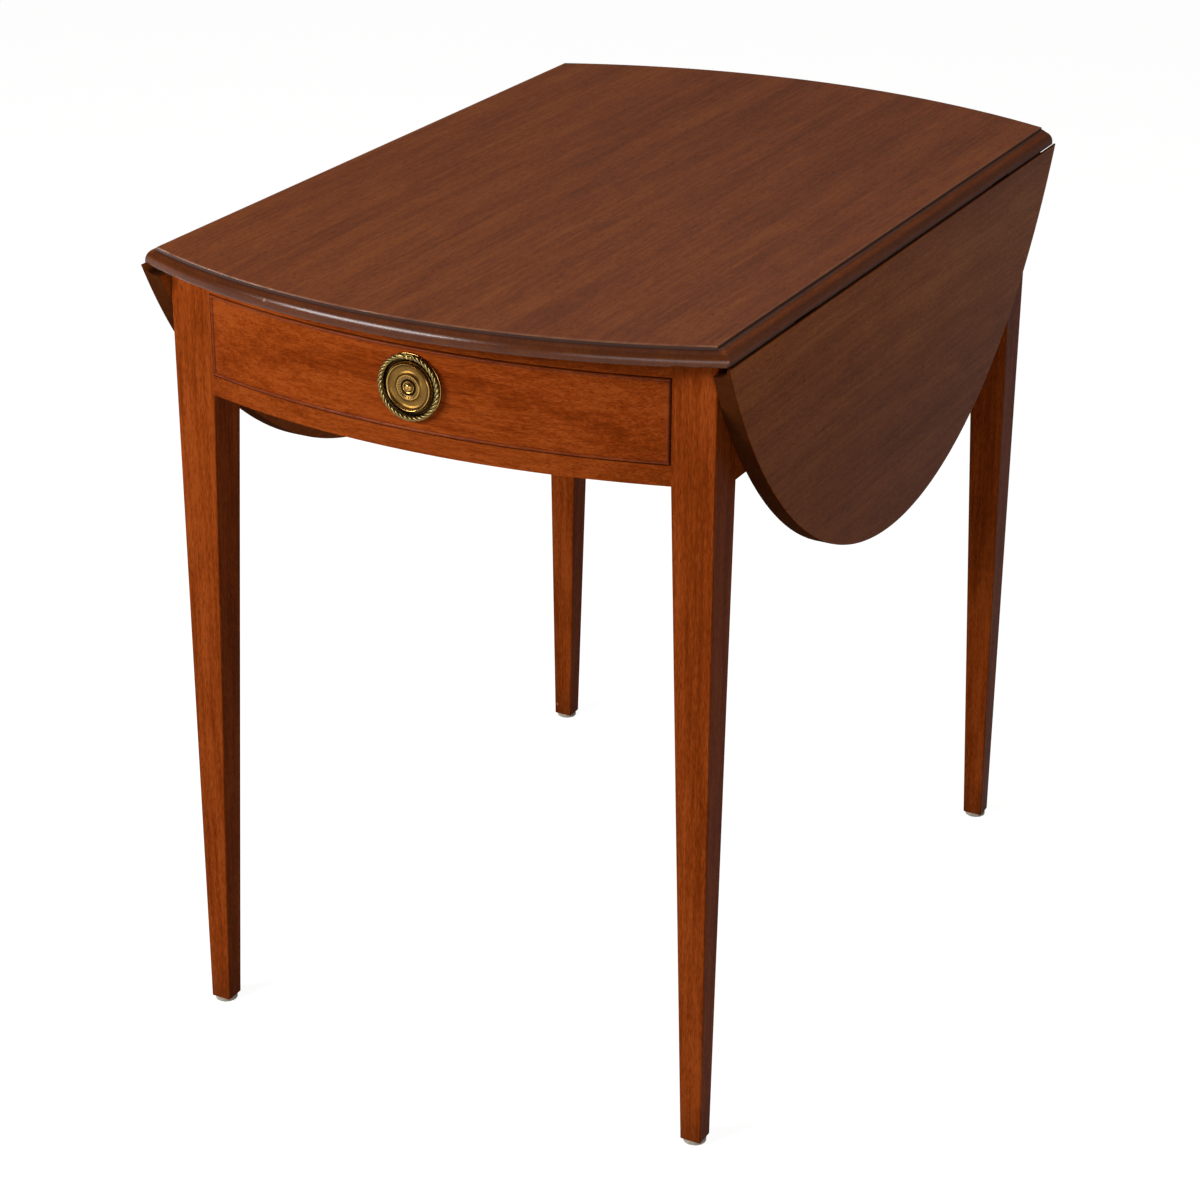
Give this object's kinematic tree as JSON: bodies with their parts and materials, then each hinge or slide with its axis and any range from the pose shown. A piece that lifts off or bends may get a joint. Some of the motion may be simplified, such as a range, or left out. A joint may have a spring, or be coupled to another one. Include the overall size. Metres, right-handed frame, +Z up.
{
  "type": "pembroke table",
  "caption": "Bow-fronted pembroke table: oval drop-leaf top on rule joints, tapered square legs, fly-rail supports and an end drawer with a twisted brass ring pull.",
  "frame": {"origin": "on the floor, under the middle of the table", "axes": "+Z up, +Y from the drawer end to the back, +X to the right seen from the drawer end"},
  "size_m": [0.535, 0.826, 0.724],
  "materials": {
    "mahogany_top": "dark red-brown mahogany, satin lacquer",
    "mahogany_frame": "red-brown mahogany, satin lacquer",
    "secondary_wood": "pale drawer timber, thin clear finish",
    "antique_brass": "antiqued brass, dark in the hollows",
    "steel_hardware": "dull steel hinges and screws",
    "felt": "pale pressed felt"
  },
  "bodies": {
    "frame": {"back_apron": "mahogany_frame", "drawer_guide_left": "secondary_wood", "drawer_guide_right": "secondary_wood", "drawer_kicker_left": "secondary_wood", "drawer_kicker_right": "secondary_wood", "drawer_runner_left": "secondary_wood", "drawer_runner_right": "secondary_wood", "drawer_stops": "secondary_wood", "felt_glides": "felt", "fly_bracket_left": "mahogany_frame", "fly_bracket_right": "mahogany_frame", "fly_pins": "steel_hardware", "fly_rail_front_left": "mahogany_frame", "fly_rail_front_right": "mahogany_frame", "fly_rail_rear_left": "mahogany_frame", "fly_rail_rear_right": "mahogany_frame", "front_lower_rail": "mahogany_frame", "front_upper_rail": "mahogany_frame", "glue_blocks": "secondary_wood", "hinge_pins": "steel_hardware", "leg_back_left": "mahogany_frame", "leg_back_right": "mahogany_frame", "leg_front_left": "mahogany_frame", "leg_front_right": "mahogany_frame", "side_rail_left": "secondary_wood", "side_rail_right": "secondary_wood", "table_top": "mahogany_top", "top_hinge_plates_left": "steel_hardware", "top_hinge_plates_right": "steel_hardware", "top_hinge_screws": "steel_hardware", "top_screws": "steel_hardware"},
    "left_leaf": {"leaf_left": "mahogany_top", "leaf_hinge_plates_left": "steel_hardware", "leaf_hinge_screws_left": "steel_hardware"},
    "right_leaf": {"leaf_right": "mahogany_top", "leaf_hinge_plates_right": "steel_hardware", "leaf_hinge_screws_right": "steel_hardware"},
    "drawer": {"drawer_front": "mahogany_frame", "drawer_bead": "mahogany_frame", "drawer_side_left": "secondary_wood", "drawer_side_right": "secondary_wood", "drawer_back": "secondary_wood", "drawer_bottom": "secondary_wood", "pull_backplate": "antique_brass", "pull_post": "antique_brass", "pull_screw": "steel_hardware", "pull_washer": "steel_hardware"},
    "ring": {"pull_ring": "antique_brass"}
  },
  "joints": [
    {"name": "left_leaf_hinge", "type": "hinge", "parent": "frame", "child": "left_leaf", "pos_m": [-0.2545, 0, 0.711], "axis": [0, 1, 0], "range_deg": [0, 90]},
    {"name": "right_leaf_hinge", "type": "hinge", "parent": "frame", "child": "right_leaf", "pos_m": [0.2545, 0, 0.711], "axis": [0, -1, 0], "range_deg": [0, 90]},
    {"name": "drawer_slide", "type": "slide", "parent": "frame", "child": "drawer", "axis": [0, -1, 0], "range_m": [0, 0.36]},
    {"name": "ring_swing", "type": "hinge", "parent": "drawer", "child": "ring", "pos_m": [0, -0.3768, 0.68], "axis": [-1, 0, 0], "range_deg": [0, 85]}
  ]
}
